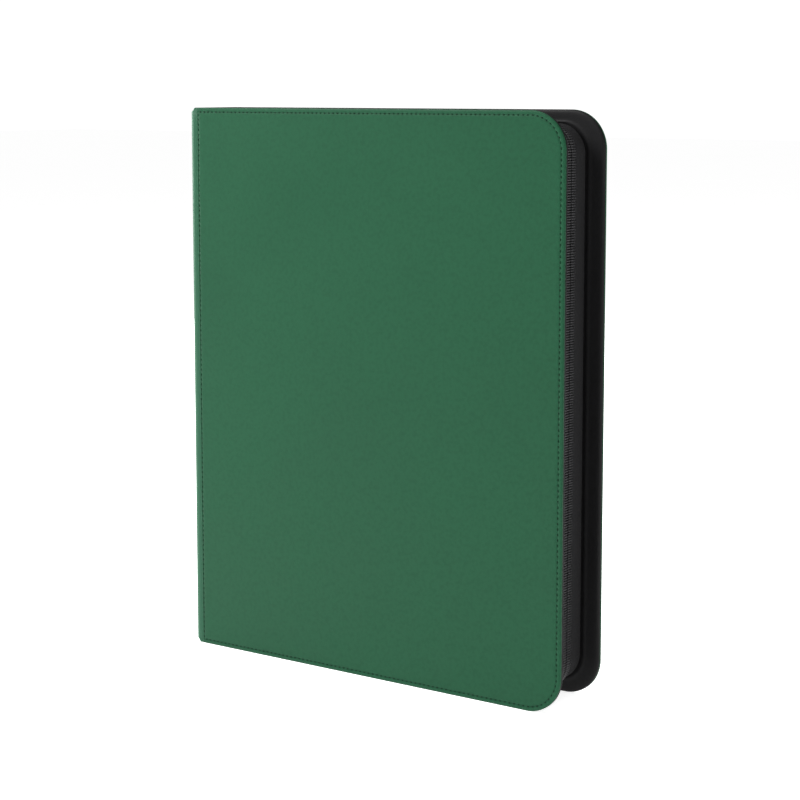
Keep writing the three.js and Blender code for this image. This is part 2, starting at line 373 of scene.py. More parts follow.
def leather(name, colour, deep, pale, roughness, specular, grain_height):
    """Imitation leather: fine pebbled grain, slow mottling, painted shade in seams, grooves and creases, and a painted
    highlight on rounded edges.
    """
    paint = Finish(name)
    here = paint.place()
    pebbles = paint.cells(here, 950.0, "SMOOTH_F1")
    pores = paint.noise(here, 2600.0, 2.0)
    mottle = paint.noise(here, 9.0, 3.0, 0.55)
    speckle = paint.noise(here, 420.0, 2.0)
    weld_and_painted_light = paint.value("weld_and_painted_light")
    tone = paint.mix(paint.remap(mottle, 0.3, 0.7), colour, tuple(c * 1.07 for c in colour))
    tone = paint.mix(paint.remap(speckle, 0.35, 0.75) * 0.22, tone, deep)
    # painted shade where the attribute is above 0, painted highlight where it is below 0
    tone = paint.mix(weld_and_painted_light * 0.7, tone, deep)
    tone = paint.mix(weld_and_painted_light * -0.9, tone, pale)
    height = pebbles * 0.7 + pores * 0.3
    sockets = {
        "Base Color": tone,
        "Roughness": paint.remap(mottle + speckle * 0.4, 0.4, 1.0, roughness - 0.05, roughness + 0.07),
        "Specular IOR Level": specular,
        "Normal": paint.bump(height, grain_height, 0.8),
    }
    return paint.surface(sockets)


def woven(name, colour, light):
    """Zip tape: a fine twill that runs along the tape."""
    paint = Finish(name)
    lay = paint.along("lay")
    run = paint.part(lay, 0)
    across = paint.part(lay, 1)
    warp = paint.wave((run * 2.0 + across) * 5200.0)
    weft = paint.wave((across - run * 0.4) * 9000.0)
    fuzz = paint.noise(paint.place(), 900.0, 3.0)
    weave = warp * 0.5 + weft * 0.3 + fuzz
    tone = paint.mix(paint.remap(weave, -0.3, 1.2), colour, light)
    sockets = {
        "Base Color": tone,
        "Roughness": paint.remap(fuzz, 0.3, 0.7, 0.78, 0.92),
        "Specular IOR Level": 0.2,
        "Normal": paint.bump(weave, 0.12 * MM, 0.7),
    }
    return paint.surface(sockets)


def moulded(name, colour, light, roughness, metallic=0.0, specular=0.4):
    """A plain moulded, cast or pressed surface with a slight texture and handling marks."""
    paint = Finish(name)
    here = paint.place()
    fine = paint.noise(here, 1800.0, 2.0)
    rub = paint.noise(here, 300.0, 4.0, 0.6)
    sockets = {
        "Base Color": paint.mix(paint.remap(rub, 0.35, 0.75), colour, light),
        "Roughness": paint.remap(rub + fine * 0.3, 0.4, 0.95, roughness - 0.08, roughness + 0.1),
        "Metallic": metallic,
        "Specular IOR Level": specular,
        "Normal": paint.bump(fine, 0.03 * MM, 0.5),
    }
    return paint.surface(sockets)


def pocket_page():
    """A black pebbled backing under clear film, with dull knurled welds between the pockets."""
    paint = Finish("pocket page")
    here = paint.place()
    weld = paint.value("weld_and_painted_light")
    pebble = paint.cells(here, 700.0)
    wrinkle = paint.noise(here, 26.0, 3.0, 0.6)
    knurl = paint.wave((paint.part(here, 0) + paint.part(here, 2)) * 4200.0)
    tone = paint.mix(paint.remap(pebble, 0.1, 0.7) * 0.5, (0.012, 0.012, 0.013), (0.024, 0.024, 0.026))
    tone = paint.mix(weld * 0.6, tone, (0.05, 0.05, 0.055))
    height = wrinkle + knurl * weld * 0.06
    sockets = {
        "Base Color": tone,
        "Roughness": 0.5 + weld * 0.2,
        "Coat Weight": 0.9 - weld * 0.6,
        "Coat Roughness": 0.12,
        "Specular IOR Level": 0.35,
        "Normal": paint.bump(height, 0.5 * MM, 0.35),
    }
    return paint.surface(sockets)


def sewing_thread(name, colour, light):
    """Twisted sewing thread."""
    paint = Finish(name)
    here = paint.place()
    lean = paint.part(here, 0) + paint.part(here, 1) + paint.part(here, 2)
    twist = paint.wave(lean * 11000.0)
    fuzz = paint.noise(here, 2500.0, 2.0)
    sockets = {
        "Base Color": paint.mix(paint.remap(twist + fuzz, -0.4, 1.6), colour, light),
        "Roughness": paint.remap(fuzz, 0.3, 0.7, 0.6, 0.8),
        "Specular IOR Level": 0.1,
        "Normal": paint.bump(twist, 0.05 * MM, 0.5),
    }
    return paint.surface(sockets)


GREEN = (0.0085, 0.0615, 0.0278)
GREEN_DEEP = (0.0035, 0.03, 0.013)
# colour of the painted highlight on the green leather
GREEN_HIGHLIGHT = (0.03, 0.1, 0.058)
BLACK = (0.0085, 0.0085, 0.009)
BLACK_DEEP = (0.003, 0.003, 0.003)
# colour of the painted highlight on the black leather
BLACK_HIGHLIGHT = (0.014, 0.014, 0.015)

finishes = {
    "green_leather": leather("green leather", GREEN, GREEN_DEEP, GREEN_HIGHLIGHT, 0.5, 0.13, 0.035 * MM),
    "black_leather": leather("black leather", BLACK, BLACK_DEEP, BLACK_HIGHLIGHT, 0.55, 0.15, 0.035 * MM),
    "foam": moulded("foam", (0.6, 0.6, 0.56), (0.7, 0.7, 0.66), 0.9, 0.0, 0.2),
    "board": moulded("grey board", (0.22, 0.2, 0.17), (0.32, 0.3, 0.26), 0.85, 0.0, 0.2),
    "zip_tape": woven("zip tape", (0.009, 0.009, 0.0094), (0.015, 0.015, 0.016)),
    "zip_coil": moulded("nylon teeth", (0.018, 0.018, 0.019), (0.03, 0.03, 0.032), 0.4, 0.0, 0.4),
    "zip_metal": moulded("blackened metal", (0.03, 0.03, 0.032), (0.06, 0.06, 0.062), 0.35, 0.85),
    "pull_rubber": moulded("pull rubber", (0.012, 0.012, 0.012), (0.02, 0.02, 0.02), 0.6),
    "page_sheet": pocket_page(),
    "thread": sewing_thread("green thread", (0.003, 0.018, 0.009), (0.006, 0.032, 0.015)),
}


# --- mesh making ---------------------------------------------------------------------------------------


def new_piece(name, body, slot, mesh, smooth=True):
    """A finished mesh on its body, in its slot's finish."""
    piece = bpy.data.objects.new(name, mesh)
    bpy.context.scene.collection.objects.link(piece)
    if not mesh.materials:
        mesh.materials.append(finishes[slot])
    for face in mesh.polygons:
        face.use_smooth = smooth
    if body:
        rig.ride(piece, body)
    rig.slot(piece, slot)
    return piece


def closed_mesh(name, points, faces, welds_and_painted_light=None, lay=None):
    """A mesh whose faces point out.

    welds_and_painted_light: for each point, 1 on a pocket page's weld and, on leather, up to 1 for painted shade in
    seams, grooves and creases, 0 on the plain sheet and down to -1 for a painted highlight on a rounded edge.
    lay: for each point, how far it is along and across a woven tape.
    """
    made = bmesh.new()
    depth = made.verts.layers.float.new("weld_and_painted_light")
    corners = [made.verts.new(p) for p in points]
    if welds_and_painted_light is not None:
        for corner, share in zip(corners, welds_and_painted_light):
            corner[depth] = share
    for face in faces:
        made.faces.new([corners[i] for i in face])
    if lay is not None:
        sheet = made.loops.layers.uv.new("lay")
        spot = {corner: place for corner, place in zip(corners, lay)}
        for face in made.faces:
            for loop in face.loops:
                loop[sheet].uv = spot[loop.vert]
    bmesh.ops.recalc_face_normals(made, faces=made.faces)
    mesh = bpy.data.meshes.new(name)
    made.to_mesh(mesh)
    made.free()
    return mesh


def lofted(name, rings, welds_and_painted_light=None, lay=None):
    """A closed skin over rings of one count, with a cap at each end."""
    count = len(rings[0])
    points = [point for ring in rings for point in ring]
    faces = []
    for base in range(0, len(points) - count, count):
        for j in range(count):
            a, b = base + j, base + (j + 1) % count
            faces.append((a, b, b + count, a + count))
    faces.append(tuple(range(count)))
    faces.append(tuple(range(len(points) - count, len(points))))
    return closed_mesh(name, points, faces, welds_and_painted_light, lay)


def smooth_step(t):
    t = min(1.0, max(0.0, t))
    return t * t * (3 - 2 * t)


# distances in mm from the crease, close together where the sheet curves, and points on a round corner
GRADED = (0, 0.3, 0.7, 1.2, 1.8, 2.6, 3.6, 5, 8, 14, 30)
BOW_STEPS = 18


def open_sides(fore, end, r, x_from):
    """Points (x, z) along the foot, fore edge and head, `fore` in from the fore edge and `end` elsewhere."""
    turn_x = EDGE_X - fore - r
    near = [x_from + g * MM for g in GRADED]
    rest = np.linspace(near[-1], turn_x, 14)[1:]
    foot = [(x, end) for x in [*near, *rest]]
    arc = [i / BOW_STEPS * math.pi / 2 for i in range(1, BOW_STEPS + 1)]
    lower = [(turn_x + r * math.sin(a), end + r - r * math.cos(a)) for a in arc]
    upright = [(EDGE_X - fore, z) for z in np.linspace(end + r, HEIGHT - end - r, 26)[1:]]
    upper = [(turn_x + r * math.cos(a), HEIGHT - end - r + r * math.sin(a)) for a in arc]
    head = [(x, HEIGHT - end) for x, _ in foot[:-1]][::-1]
    return foot + lower + upright + upper + head


def cover_path(inset, x_from):
    """A line `inset` in from a cover's edge, which follows the zip band from where that stands."""
    share = min(1, max(0, (inset - TURNED) / (FORE_INSET - TURNED)))
    end = inset - share * (FORE_INSET - END_INSET)
    r = CORNER - inset + share * (BAND_CORNER + FORE_INSET - CORNER)
    return open_sides(inset, end, max(r, 0.5 * MM), x_from)


def band_path(inward, x_from):
    """A line `inward` of the zip band's outer face."""
    return open_sides(FORE_INSET + inward, END_INSET + inward, BAND_CORNER - inward, x_from)


def cover_loop(inset, left, x_from):
    """A line round a cover, closed down the crease side, `left` in from where the cover begins."""
    path = cover_path(inset, x_from + left)
    top, foot = path[-1][1], path[0][1]
    crease = [(x_from + left, z) for z in np.linspace(top, foot, 30)[1:-1]]
    return path + crease


def depth_to_y(side, depth):
    return -HALF + depth if side == "front" else HALF - depth


CREASE_DIP = 0.2 * MM
CREASE_DIP_REACH = 3.2 * MM
# the painted shade beside the crease and the painted highlight on the cover's edge before it: how strong, and how far
# each reaches
CREASE_SHADE_AND_HIGHLIGHT = 0.6
CREASE_SHADE_REACH = 0.8 * MM
EDGE_HIGHLIGHT_REACH = 0.4 * MM


def layered_sheet(name, side, layers, dip=0.0, crease_shade_and_highlight=0.0):
    """A sheet turned over a board. Its rings run from the hidden face, over the edge, to the shown face.

    dip: how far the shown face sinks at the crease.
    crease_shade_and_highlight: how dark the painted shade along the stitch line beside the crease is, and how pale the
    painted highlight on the edge before it.
    """
    rings, welds_and_painted_light = [], []
    for inset, depth, left, weld_and_painted_light, shown in layers:
        ring = []
        for x, z in cover_loop(inset * MM, left * MM, COVER_X):
            sink = dip * (1 - smooth_step((x - COVER_X) / CREASE_DIP_REACH)) * shown
            ring.append((x, depth_to_y(side, depth * MM + sink), z))
            # painted shade along the crease's stitch line, and a painted highlight on the cover's edge at the crease
            crease_shade_mask = 1 - smooth_step(abs(x - COVER_X - CREASE_SEAM) / CREASE_SHADE_REACH)
            edge_highlight_mask = 1 - smooth_step((x - COVER_X - EDGE_HIGHLIGHT_REACH) / EDGE_HIGHLIGHT_REACH)
            welds_and_painted_light.append(max(weld_and_painted_light, crease_shade_and_highlight * shown * crease_shade_mask) - crease_shade_and_highlight * shown * edge_highlight_mask)
        rings.append(ring)
    return lofted(name, rings, welds_and_painted_light)


# in mm: inset, depth and how far in from the crease; then how much painted shade it takes, in the stitch groove, at
# the turned edges and where the lining meets the tape, and 1 on the shown face
SKIN_RINGS = [
    (1.45, 0.82, 1.0, 0, 0), (1.2, 0.86, 0.75, 0, 0), (1.15, 1.0, 0.7, 0, 0), (1.15, 1.68, 0.7, 0, 0),
    (0.2, 1.68, 0, 0.5, 0), (0.05, 1.55, 0, 0, 0), (0, 1.1, 0, 0, 0), (0.03, 0.62, 0, 0, 0.3),
    (0.16, 0.36, 0.02, 0, 0.8), (0.42, 0.2, 0.1, 0, 1), (0.85, 0.09, 0.3, 0, 1), (1.5, 0.01, 0.6, 0, 1),
    (2.05, 0.04, 0.9, 0, 1), (2.4, 0.15, 1.15, 0.1, 1), (2.65, 0.24, 1.35, 0.2, 1),
    (2.85, 0.24, 1.55, 0.2, 1), (3.1, 0.15, 1.8, 0.1, 1), (3.5, 0.05, 2.1, 0, 1), (4.2, 0.01, 2.6, 0, 1),
    (5.4, 0, 3.3, 0, 1), (8, 0, 5.5, 0, 1), (12, 0, 9, 0, 1),
]
LINING_RINGS = [
    (3.0, 3.5, 1.2, 0, 0), (2.46, 3.46, 0.9, 0, 0), (2.44, 3.2, 0.8, 0, 0), (2.44, 1.78, 0.7, 0, 0),
    (0.4, 1.74, 0, 1, 0), (0.14, 1.78, 0, 1, 0), (0.06, 1.92, 0, 1, 0), (0.02, 2.12, 0, 1, 0),
    (0.03, 2.6, 0, 1, 0), (0.1, 3.05, 0, 1, 0), (0.3, 3.4, 0.05, 0.8, 0), (0.7, 3.68, 0.15, 0.4, 0),
    (1.3, 3.86, 0.4, 0, 0), (2.1, 3.96, 0.8, 0, 0), (3.4, 4.0, 1.3, 0, 0), (5, 4.0, 2, 0, 0),
    (7.4, 4.0, 3, 0, 0), (8.2, 4.05, 3.4, 0, 0), (9.0, 4.22, 3.8, 0, 0), (9.8, 4.4, 4.2, 0, 0),
    (10.5, 4.34, 4.6, 0, 0), (11.1, 4.1, 5, 0.2, 0), (11.5, 4.0, 5.4, 0.3, 0), (12.6, 4.0, 6.4, 0.1, 0),
    (16, 4.0, 9, 0, 0), (22, 4.0, 14, 0, 0),
]


def wrap_covers():
    """The padded green outside of each cover, and its black inside turned over the edge to meet it."""
    for side in ("front", "back"):
        body = side + "_cover"
        skin = layered_sheet(side + "_wrap", side, SKIN_RINGS, CREASE_DIP, CREASE_SHADE_AND_HIGHLIGHT)
        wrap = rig.replaces(new_piece(side + "_wrap", body, "green_leather", skin), side + "_skin")
        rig.padded(wrap, fill=0.9)
        lining = layered_sheet(side + "_inside", side, LINING_RINGS)
        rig.replaces(new_piece(side + "_inside", body, "black_leather", lining), side + "_lining")


SPINE_ROUND = 4.5 * MM
SPINE_SKIN = 0.8 * MM
SPINE_ARC_STEPS = 14
# the cut corners at head and foot: how deep, over what height, and how far along the spine's two faces
CUT_DEPTH = 4.1 * MM
CUT_HEIGHT = 2.6 * MM
CUT_ALONG_SIDE = 5.2 * MM
CUT_ALONG_BACK = 4.6 * MM
# the size and the height of the roundings at head and foot: the wrap's own arris, and the spine's back
ARRIS = (0.6 * MM, 0.7 * MM)
BACK_ROUND = (2.0 * MM, 2.4 * MM)
BACK_REACH = 3.5 * MM
# from the covers' outer faces, where the painted highlight on the spine's rounded edges reaches, and how it fades out
SPINE_HIGHLIGHT_FROM = 5.5 * MM
FADE = 2.5 * MM


def spine_section(sink):
    """The spine's outline in X and Y from crease to crease, `sink` in from its outer surface."""
    r = SPINE_ROUND - sink
    middle = SPINE_X + SPINE_ROUND
    arc = [i / SPINE_ARC_STEPS * math.pi / 2 for i in range(SPINE_ARC_STEPS + 1)]
    ridge = [(SPINE_END - t * MM, d * MM) for t, d in ((0, 0.12), (0.1, 0.04))]
    front = [(x, -HALF + d + sink) for x, d in ridge]
    turn = [(middle - r * math.sin(a), -HALF + SPINE_ROUND - r * math.cos(a)) for a in arc]
    flat = [(SPINE_X + sink, y) for y in np.linspace(-HALF + SPINE_ROUND, HALF - SPINE_ROUND, 12)[1:-1]]
    half = front + turn
    return half + flat + [(x, -y) for x, y in reversed(half)]


def fallen_back(end, size, reach):
    """How far a rounded end has fallen back at a distance `end` in from it."""
    t = 1 - min(end / reach, 1)
    return size * (1 - math.sqrt(1 - t * t))


def spine_ring(end):
    """The outer and inner outlines at a distance `end` from the head or foot, where corners are cut."""
    outer, inner = spine_section(0), spine_section(SPINE_SKIN)
    cut = CUT_DEPTH * max(0, 1 - end / CUT_HEIGHT)
    rings = []
    for section, turned in ((outer, fallen_back(end, *ARRIS)), (inner, 0)):
        ring = []
        for (x, y), start, stop in zip(section, outer, inner):
            x += (stop[0] - start[0]) / SPINE_SKIN * turned
            y += (stop[1] - start[1]) / SPINE_SKIN * turned
            back = 1 - smooth_step((x - SPINE_X) / BACK_REACH)
            corner = smooth_step((abs(y) - HALF + CUT_ALONG_BACK) / FADE)
            x += fallen_back(end, *BACK_ROUND) * back
            x += cut * corner * max(0, 1 - (x - SPINE_X) / CUT_ALONG_SIDE)
            ring.append((x, y))
        rings.append(ring)
    return rings


def wrap_spine():
    """The wrap round the spine, with its ends turned in and its corners rubbed off."""
    levels = [z * MM for z in (0, 0.12, 0.35, 0.7, 1.2, 1.8, 2.6, 3.4, 4.2, 10)]
    middle = list(np.linspace(14 * MM, HEIGHT - 14 * MM, 22))
    heights = levels + middle + [HEIGHT - z for z in reversed(levels)]
    rings, welds_and_painted_light = [], []
    for z in heights:
        outer, inner = spine_ring(min(z, HEIGHT - z))
        rings.append([(x, y, z) for x, y in outer + inner[::-1]])
        # painted highlight on the spine's two rounded edges
        welds_and_painted_light += [-smooth_step((abs(y) - HALF + SPINE_HIGHLIGHT_FROM) / FADE) for _, y, _ in rings[-1]]
    wrap = new_piece("spine_wrap", "spine", "green_leather", lofted("spine_wrap", rings, welds_and_painted_light))
    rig.replaces(wrap, "spine_skin")


# in mm, from the crease to the board: in from the spine's flat face, and down from the cover's outer face
LINING_OUTER = [(4.6, 0.86), (3.6, 0.96), (2.8, 1.36), (2.2, 2.1), (2.1, 2.9), (2.35, 3.7), (2.92, 4.26)]
LINING_INNER = [(4.6, 1.26), (3.75, 1.34), (3.15, 1.68), (2.65, 2.3), (2.6, 2.9), (2.85, 3.5), (3.38, 4.05)]
LINING_END = 3.2 * MM


def line_spine():
    """The black lining inside the spine, drawn down beside the board and over it."""
    halves = [[(SPINE_X + x * MM, -HALF + d * MM) for x, d in path] for path in (LINING_OUTER, LINING_INNER)]
    outer, inner = [half + [(x, -y) for x, y in reversed(half)] for half in halves]
    heights = np.linspace(LINING_END, HEIGHT - LINING_END, 24)
    mesh = lofted("spine_inside", [[(x, y, z) for x, y in outer + inner[::-1]] for z in heights])
    lining = new_piece("spine_inside", "spine", slot_of("spine_lining"), mesh)
    mark_sharp(lining)
    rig.replaces(lining, "spine_lining")


CREASE_OVERLAP = 0.12 * MM
CREASE_END = 0.25 * MM
# in mm: how thick the wrap and the lining are there, and how deep the channel is from the spine to a cover
CREASE_SKIN = 0.5
CREASE_LINING = 0.3
CREASE_DEPTHS = (0.1, 0.1, 0.12, 0.15, 0.2, 0.27, 0.35, 0.42, 0.46, 0.5)
# how strong the painted highlight on the wrap is, at the same places
CREASE_HIGHLIGHTS = (-1, -1, -1, -1, -0.9, -0.9, -0.8, -0.8, -0.7, -0.6)


def bend_strip(name, side, depths, painted_highlights, thickness, slot):
    """A strip between the spine and a cover, which bends as that cover opens."""
    xs = np.linspace(SPINE_END - CREASE_OVERLAP, COVER_X + CREASE_OVERLAP, len(depths))
    rings, welds_and_painted_light = [], []
    for z in np.linspace(CREASE_END, HEIGHT - CREASE_END, 40):
        top = [(x, depth_to_y(side, d * MM), z) for x, d in zip(xs, depths)]
        under = [(x, depth_to_y(side, (d + thickness) * MM), z) for x, d in zip(xs, depths)]
        rings.append(top + under[::-1])
        # painted highlight across the crease strip
        welds_and_painted_light += [*painted_highlights, *reversed(painted_highlights)]
    strip = new_piece(name, None, slot, lofted(name, rings, welds_and_painted_light))
    near_y = depth_to_y(side, 0.4 * MM)
    middle = HEIGHT / 2
    start, end = (SPINE_END, near_y, middle), (COVER_X, near_y, middle)
    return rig.blend(strip, "spine", side + "_cover", start=start, end=end)


def crease_channels():
    """The shallow channel on each side of the spine: the green wrap, and the black lining under it."""
    under = [d + CREASE_SKIN + 0.02 for d in CREASE_DEPTHS]
    plain = [0] * len(under)
    for side in ("front", "back"):
        bend_strip(side + "_crease", side, CREASE_DEPTHS, CREASE_HIGHLIGHTS, CREASE_SKIN, "green_leather")
        bend_strip(side + "_crease_inside", side, under, plain, CREASE_LINING, "black_leather")


# --- the zip -------------------------------------------------------------------------------------------


def swept_band(name, side, profile, x_from):
    """A closed profile, in and down from the band's outer edge, carried round the three open sides."""
    paths = [band_path(inward * MM, x_from) for inward, _ in profile]
    run = [0.0]
    for a, b in zip(paths[0], paths[0][1:]):
        run.append(run[-1] + math.dist(a, b))
    across = [0.0]
    for a, b in zip(profile, profile[1:]):
        across.append(across[-1] + math.dist(a, b) * MM)
    rings, lay = [], []
    for s, travelled in enumerate(run):
        spots = [path[s] for path in paths]
        rings.append([(x, depth_to_y(side, p[1] * MM), z) for (x, z), p in zip(spots, profile)])
        lay += [(travelled, a) for a in across]
    return lofted(name, rings, None, lay)


def turned_ring(around, half_width, half_height, place):
    """A ring of points, each put in its place from its two offsets."""
    angles = [(i + 0.5) / around * 2 * math.pi for i in range(around)]
    return [place(math.cos(a) * half_width, math.sin(a) * half_height) for a in angles]


def tooth_mesh(length, width, height):
    """One turn of the coil, lying across the tape. Local Z runs to its head, at the middle of the zip."""
    # how far along the tooth, and how full it is there
    stations = [(-0.5, 0.55), (-0.46, 0.85), (-0.3, 1.0), (0.25, 1.0), (0.42, 1.1), (0.5, 0.7)]
    rings = []
    for t, swell in stations:
        half = width / 2 * swell, height / 2 * min(swell, 1)
        rings.append(turned_ring(8, *half, lambda x, y, t=t: (x, y, t * length)))
    return lofted("tooth", rings)


def stitch_mesh(length, width, height):
    """One stitch: a short thread that comes out of its hole and goes down again. Local Z is outward."""
    # how far along the stitch, how full it is there, and how far it has risen
    stations = [(-0.5, 0.3, -0.6), (-0.44, 0.75, 0.0), (-0.25, 1.0, 0.5), (0.0, 1.0, 0.62)]
    stations += [(-t, swell, rise) for t, swell, rise in reversed(stations[:3])]
    rings = []
    for t, swell, rise in stations:
        half = width / 2 * swell, height / 2 * swell
        rings.append(turned_ring(6, *half, lambda y, z, t=t, up=rise: (t * length, y, z + up * height)))
    return lofted("stitch", rings)


def row_tree():
    """Geometry Nodes: one piece set at a steady pitch along a line, facing a given way."""
    tree = bpy.data.node_groups.new("row along a line", "GeometryNodeTree")
    face = tree.interface
    face.new_socket("Geometry", in_out="INPUT", socket_type="NodeSocketGeometry")
    face.new_socket("Piece", in_out="INPUT", socket_type="NodeSocketObject")
    face.new_socket("Pitch", in_out="INPUT", socket_type="NodeSocketFloat")
    face.new_socket("Facing", in_out="INPUT", socket_type="NodeSocketVector")
    face.new_socket("Size Variation", in_out="INPUT", socket_type="NodeSocketFloat")
    face.new_socket("Seed", in_out="INPUT", socket_type="NodeSocketInt")
    face.new_socket("Finish", in_out="INPUT", socket_type="NodeSocketMaterial")
    face.new_socket("Geometry", in_out="OUTPUT", socket_type="NodeSocketGeometry")

    def add(kind, settings=None, sockets=None):
        made = tree.nodes.new(kind)
        for key, value in (settings or {}).items():
            setattr(made, key, value)
        for key, value in (sockets or {}).items():
            if isinstance(value, bpy.types.NodeSocket):
                tree.links.new(value, made.inputs[key])
            else:
                made.inputs[key].default_value = value
        return made

    given = tree.nodes.new("NodeGroupInput").outputs
    line = add("GeometryNodeMeshToCurve", {}, {"Mesh": given["Geometry"]})
    pitch = {"Curve": line.outputs[0], "Length": given["Pitch"]}
    evenly = add("GeometryNodeResampleCurve", {"mode": "LENGTH"}, pitch)
    heading = add("GeometryNodeInputTangent")
    along = add("FunctionNodeAlignRotationToVector", {"axis": "X"}, {"Vector": heading.outputs[0]})
    upright = add(
        "FunctionNodeAlignRotationToVector",
        {"axis": "Z", "pivot_axis": "X"},
        {"Rotation": along.outputs[0], "Vector": given["Facing"]},
    )
    spread = add("FunctionNodeRandomValue", {"data_type": "FLOAT"}, {"Seed": given["Seed"]})
    low = add("ShaderNodeMath", {"operation": "SUBTRACT"}, {0: 1.0, 1: given["Size Variation"]})
    high = add("ShaderNodeMath", {"operation": "ADD"}, {0: 1.0, 1: given["Size Variation"]})
    tree.links.new(low.outputs[0], spread.inputs[2])
    tree.links.new(high.outputs[0], spread.inputs[3])
    piece = add("GeometryNodeObjectInfo", {"transform_space": "ORIGINAL"}, {"Object": given["Piece"]})
    copies = add(
        "GeometryNodeInstanceOnPoints",
        {},
        {
            "Points": evenly.outputs[0],
            "Instance": piece.outputs["Geometry"],
            "Rotation": upright.outputs[0],
            "Scale": spread.outputs[1],
        },
    )
    real = add("GeometryNodeRealizeInstances", {}, {0: copies.outputs[0]})
    painted = add("GeometryNodeSetMaterial", {}, {"Geometry": real.outputs[0], "Material": given["Finish"]})
    out = tree.nodes.new("NodeGroupOutput")
    tree.links.new(painted.outputs[0], out.inputs[0])
    return tree


ROW = row_tree()


def row_of(name, body, slot, lines, piece_mesh, pitch, facing, variation=0.0, seed=1):
    """Sets a row of one small piece along each line, as one plain mesh."""
    guide = bpy.data.meshes.new(name + "_guide")
    points = [p for line in lines for p in line]
    edges, base = [], 0
    for line in lines:
        edges += [(base + i, base + i + 1) for i in range(len(line) - 1)]
        base += len(line)
    guide.from_pydata(points, edges, [])
    holder = bpy.data.objects.new(name + "_guide", guide)
    helper = bpy.data.objects.new(name + "_helper", piece_mesh)
    for o in (holder, helper):
        bpy.context.scene.collection.objects.link(o)
    modifier = holder.modifiers.new("row", "NODES")
    modifier.node_group = ROW
    chosen = {
        "Piece": helper,
        "Pitch": pitch,
        "Facing": facing,
        "Size Variation": variation,
        "Seed": seed,
        "Finish": finishes[slot],
    }
    for item in ROW.interface.items_tree:
        if item.in_out == "INPUT" and item.name in chosen:
            modifier[item.identifier] = chosen[item.name]
    bpy.context.view_layer.update()
    depsgraph = bpy.context.evaluated_depsgraph_get()
    made = bpy.data.meshes.new_from_object(holder.evaluated_get(depsgraph))
    made.name = name
    for o in (holder, helper):
        bpy.data.objects.remove(o)
    return new_piece(name, body, slot, made)


TOOTH_PITCH = 1.5 * MM
TOOTH = (4.6 * MM, 1.25 * MM, 1.95 * MM)
TEETH_RISE = 0.95 * MM
TEETH_START = 0.7 * MM
MIDDLE_DEPTH = HALF / MM - 0.6

# in mm: how far in from the band's outer face, and the depth from the cover's outer face
TAPE_PROFILE = [
    (1.5, 4.05), (1.1, 4.5), (0.5, 5.1), (0.12, 6.0), (0, 7.4), (0, 12), (0, 16.5), (-0.05, 17.6), (0, 18.3),
    (0, MIDDLE_DEPTH), (0.8, MIDDLE_DEPTH), (0.8, 12), (0.9, 6.6), (1.6, 5.2), (2.3, 4.05),
]


def zip_halves():
    """The two tapes, each with its row of coil teeth and the seam that holds the coil."""
    tooth = tooth_mesh(*TOOTH)
    for side, inward in (("front", 1), ("back", -1)):
        body = side + "_cover"
        tape = swept_band(side + "_tape", side, TAPE_PROFILE, TAPE_X)
        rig.replaces(new_piece(side + "_tape", body, "zip_tape", tape), side + "_zip_tape")
        y = -inward * (MIDDLE_GAP + TOOTH[0] / 2)
        line = [(x, y, z) for x, z in band_path(-TEETH_RISE, TAPE_X + TEETH_START)]
        facing = (0, inward, 0)
        teeth = row_of(side + "_teeth", body, "zip_coil", [line], tooth, TOOTH_PITCH, facing)
        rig.replaces(teeth, side + "_zip_coil")


# --- stitching -----------------------------------------------------------------------------------------

STITCH_PITCH = 3.2 * MM
STITCH = (1.6 * MM, 0.65 * MM, 0.38 * MM)
STITCH_VARIATION = 0.04
EDGE_SEAM_START = 3.4 * MM
CREASE_SEAM_END = 4.5 * MM
EDGE_SEAM_DEPTH = 0.2 * MM
CREASE_SEAM_DEPTH = 0.32 * MM


def cover_seams():
    """The stitching that runs round three sides of each cover, and the stitching beside the crease."""
    stitch = stitch_mesh(*STITCH)
    for side in ("front", "back"):
        out = (0, -1 if side == "front" else 1, 0)
        y = depth_to_y(side, EDGE_SEAM_DEPTH)
        edge = [(x, y, z) for x, z in cover_path(EDGE_SEAM, COVER_X + EDGE_SEAM_START)]
        y = depth_to_y(side, CREASE_SEAM_DEPTH)
        heights = np.linspace(CREASE_SEAM_END, HEIGHT - CREASE_SEAM_END, 12)
        crease = [(COVER_X + CREASE_SEAM, y, z) for z in heights]
        for where, line, seed in (("edge", edge, 3), ("crease", crease, 5)):
            name = f"{side}_{where}_stitches"
            variation = STITCH_VARIATION
            row_of(name, side + "_cover", "thread", [line], stitch, STITCH_PITCH, out, variation, seed)


# --- leaves --------------------------------------------------------------------------------------------

POCKETS = 3
CELLS = 6
WELD = 1.2 * MM
LEAF_RIM = 1.5 * MM
LEAF_CORNER = 1.2 * MM
BOUND_MARGIN = 12 * MM


def leaf_lines(low, high, margin):
    """Grid lines over three pockets in a row, and 1 where a line is a weld."""
    edges = [low]
    welds = [1.0]
    start, end = low + margin, high - LEAF_RIM
    step = (end - start) / POCKETS
    for k in range(POCKETS):
        for c in range(CELLS + 1):
            t = c / CELLS
            ease = 0.5 - 0.5 * math.cos(math.pi * t)
            edges.append(start + k * step + WELD + ease * (step - 2 * WELD))
            welds.append(1.0 if c in (0, CELLS) else 0.0)
    edges.append(high)
    welds.append(1.0)
    return edges, welds


